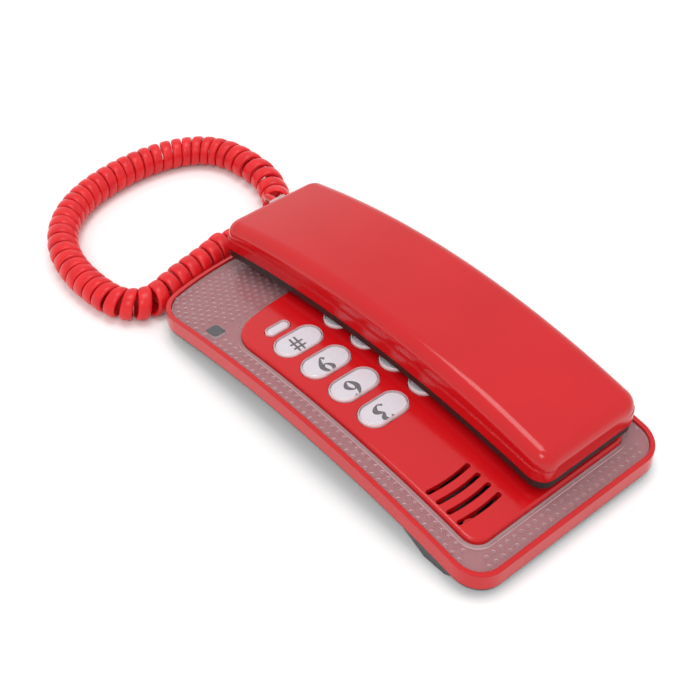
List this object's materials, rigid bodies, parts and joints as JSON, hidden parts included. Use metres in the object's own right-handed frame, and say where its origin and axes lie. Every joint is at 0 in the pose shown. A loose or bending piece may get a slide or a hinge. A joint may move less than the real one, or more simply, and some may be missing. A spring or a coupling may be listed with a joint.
{
  "type": "slimline wall telephone",
  "caption": "Arched slimline telephone for wall or desk, with a lift-off handset over the keypad, clear frame plate, small dark window and a curly handset cord.",
  "frame": {"origin": "middle of the phone's footprint on the table, cord left out", "axes": "+Z out of the phone's face, +Y to the top end with the sounder slots, +X to the phone's right side; the cords leave at -Y"},
  "size_m": [0.1105, 0.2695, 0.0398],
  "materials": {
    "red_gloss": "glossy moulded ABS",
    "clear_tint": "clear acrylic with moulded dimples, red from the housing under it",
    "smoke_lens": "smoked window",
    "lamp": "small lamp, unlit",
    "dark_plastic": "fine texture",
    "black_plastic": "satin",
    "grey_plastic": "fine texture",
    "grey_rubber": "silicone",
    "black_rubber": "matte",
    "steel": "zinc plated",
    "capsule_metal": "drawn can",
    "board": "phenolic board",
    "clear_plug": "clear polycarbonate",
    "clear_cap": "clear acrylic key cap",
    "label_white": "white insert",
    "red_cord": "glossy soft vinyl jacket"
  },
  "bodies": {
    "base": {"base_housing": "red_gloss", "clear_frame_plate": "clear_tint", "indicator_lens": "smoke_lens", "indicator_lamp": "lamp", "bottom_cover": "dark_plastic", "case_screws": "steel", "main_board": "board", "keypad_mat": "grey_rubber", "ringer_sounder": "black_plastic", "hook_switch": "black_plastic", "wall_bracket": "grey_plastic", "rubber_feet": "black_rubber", "line_cord_gland": "black_rubber", "strain_relief": "red_cord", "cord_lead": "red_cord", "cord_coil": "red_cord", "cord_tail": "red_cord"},
    "handset": {"handset_upper_shell": "red_gloss", "handset_lower_shell": "black_plastic", "handset_screws": "steel", "receiver": "capsule_metal", "microphone": "capsule_metal", "balance_weight": "steel", "handset_jack": "black_plastic", "modular_plug": "clear_plug"},
    "hook": {"hook_plunger": "black_plastic"},
    "ringer_slider": {"ringer_switch": "black_plastic"},
    "key_1": {"key_1_cap": "clear_cap", "key_1_label": "label_white"},
    "key_2": {"key_2_cap": "clear_cap", "key_2_label": "label_white"},
    "key_3": {"key_3_cap": "clear_cap", "key_3_label": "label_white"},
    "key_4": {"key_4_cap": "clear_cap", "key_4_label": "label_white"},
    "key_5": {"key_5_cap": "clear_cap", "key_5_label": "label_white"},
    "key_6": {"key_6_cap": "clear_cap", "key_6_label": "label_white"},
    "key_7": {"key_7_cap": "clear_cap", "key_7_label": "label_white"},
    "key_8": {"key_8_cap": "clear_cap", "key_8_label": "label_white"},
    "key_9": {"key_9_cap": "clear_cap", "key_9_label": "label_white"},
    "key_star": {"key_star_cap": "clear_cap", "key_star_label": "label_white"},
    "key_0": {"key_0_cap": "clear_cap", "key_0_label": "label_white"},
    "key_hash": {"key_hash_cap": "clear_cap", "key_hash_label": "label_white"},
    "key_flash": {"key_flash_cap": "clear_cap", "key_flash_label": "label_white"},
    "key_redial": {"key_redial_cap": "clear_cap", "key_redial_label": "label_white"},
    "key_mute": {"key_mute_cap": "clear_cap", "key_mute_label": "label_white"}
  },
  "joints": [
    {"name": "handset_lift", "type": "slide", "parent": "base", "child": "handset", "axis": [0, 0, 1], "range_m": [0, 0.06]},
    {"name": "hook_travel", "type": "slide", "parent": "base", "child": "hook", "axis": [0, 0, 1], "range_m": [0, 0.0026]},
    {"name": "ringer_slide", "type": "slide", "parent": "base", "child": "ringer_slider", "axis": [0, 1, 0], "range_m": [-0.002, 0.002]},
    {"name": "key_1_press", "type": "slide", "parent": "base", "child": "key_1", "axis": [0, 0, -1], "range_m": [0, 0.001], "stiffness_N_per_m": 300},
    {"name": "key_2_press", "type": "slide", "parent": "base", "child": "key_2", "axis": [0, 0, -1], "range_m": [0, 0.001], "stiffness_N_per_m": 300},
    {"name": "key_3_press", "type": "slide", "parent": "base", "child": "key_3", "axis": [0, 0, -1], "range_m": [0, 0.001], "stiffness_N_per_m": 300},
    {"name": "key_4_press", "type": "slide", "parent": "base", "child": "key_4", "axis": [0, 0, -1], "range_m": [0, 0.001], "stiffness_N_per_m": 300},
    {"name": "key_5_press", "type": "slide", "parent": "base", "child": "key_5", "axis": [0, 0, -1], "range_m": [0, 0.001], "stiffness_N_per_m": 300},
    {"name": "key_6_press", "type": "slide", "parent": "base", "child": "key_6", "axis": [0, 0, -1], "range_m": [0, 0.001], "stiffness_N_per_m": 300},
    {"name": "key_7_press", "type": "slide", "parent": "base", "child": "key_7", "axis": [0, 0, -1], "range_m": [0, 0.001], "stiffness_N_per_m": 300},
    {"name": "key_8_press", "type": "slide", "parent": "base", "child": "key_8", "axis": [0, 0, -1], "range_m": [0, 0.001], "stiffness_N_per_m": 300},
    {"name": "key_9_press", "type": "slide", "parent": "base", "child": "key_9", "axis": [0, 0, -1], "range_m": [0, 0.001], "stiffness_N_per_m": 300},
    {"name": "key_star_press", "type": "slide", "parent": "base", "child": "key_star", "axis": [0, 0, -1], "range_m": [0, 0.001], "stiffness_N_per_m": 300},
    {"name": "key_0_press", "type": "slide", "parent": "base", "child": "key_0", "axis": [0, 0, -1], "range_m": [0, 0.001], "stiffness_N_per_m": 300},
    {"name": "key_hash_press", "type": "slide", "parent": "base", "child": "key_hash", "axis": [0, 0, -1], "range_m": [0, 0.001], "stiffness_N_per_m": 300},
    {"name": "key_flash_press", "type": "slide", "parent": "base", "child": "key_flash", "axis": [0, 0, -1], "range_m": [0, 0.001], "stiffness_N_per_m": 300},
    {"name": "key_redial_press", "type": "slide", "parent": "base", "child": "key_redial", "axis": [0, 0, -1], "range_m": [0, 0.001], "stiffness_N_per_m": 300},
    {"name": "key_mute_press", "type": "slide", "parent": "base", "child": "key_mute", "axis": [0, 0, -1], "range_m": [0, 0.001], "stiffness_N_per_m": 300}
  ],
  "couplings": [
    {"joint": "hook_travel", "follows": "handset_lift", "ratio": 0.0433}
  ]
}
